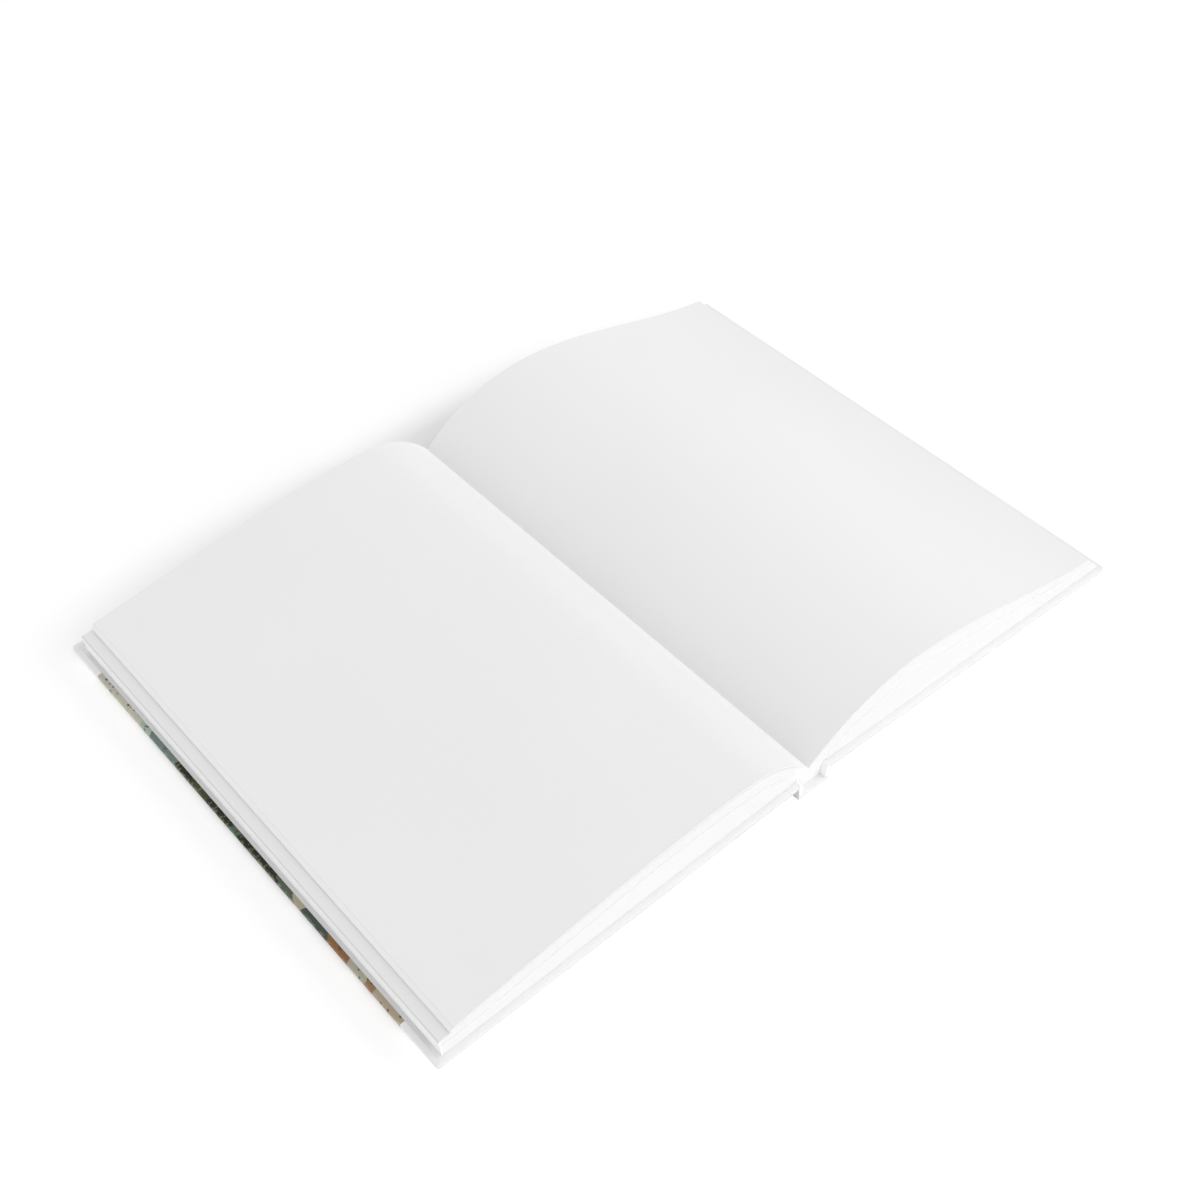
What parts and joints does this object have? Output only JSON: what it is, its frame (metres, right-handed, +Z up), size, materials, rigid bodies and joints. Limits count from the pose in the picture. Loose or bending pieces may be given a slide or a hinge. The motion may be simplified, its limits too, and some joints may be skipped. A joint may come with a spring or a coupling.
{
  "type": "opened hardcover journal",
  "caption": "Hard-cover journal lying open, its page block arched into two humps on either side of the gutter and its covers hinged at the spine strip.",
  "frame": {"origin": "on the floor, in the middle of the covers under the spine strip", "axes": "+X across the book towards the right half, +Y along the spine towards the head, +Z up"},
  "size_m": [0.292, 0.2032, 0.0278],
  "materials": {
    "board": "matte grey board",
    "cover_sheet": "laminated paper",
    "paste_down": "matte paper",
    "page_paper": "matte paper"
  },
  "bodies": {
    "text_block": {"pages": "page_paper", "spine_board": "board", "spine_wrap": "cover_sheet"},
    "front_cover": {"front_board": "board", "front_cover_wrap": "cover_sheet", "front_pastedown": "paste_down"},
    "back_cover": {"back_board": "board", "back_cover_wrap": "cover_sheet", "back_pastedown": "paste_down"}
  },
  "joints": [
    {"name": "front_cover_hinge", "type": "hinge", "parent": "text_block", "child": "front_cover", "pos_m": [-0.00695, 0, 0.00563], "axis": [0, 1, 0], "range_deg": [-85, 0]},
    {"name": "back_cover_hinge", "type": "hinge", "parent": "text_block", "child": "back_cover", "pos_m": [0.00695, 0, 0.00563], "axis": [0, 1, 0], "range_deg": [0, 85]}
  ]
}
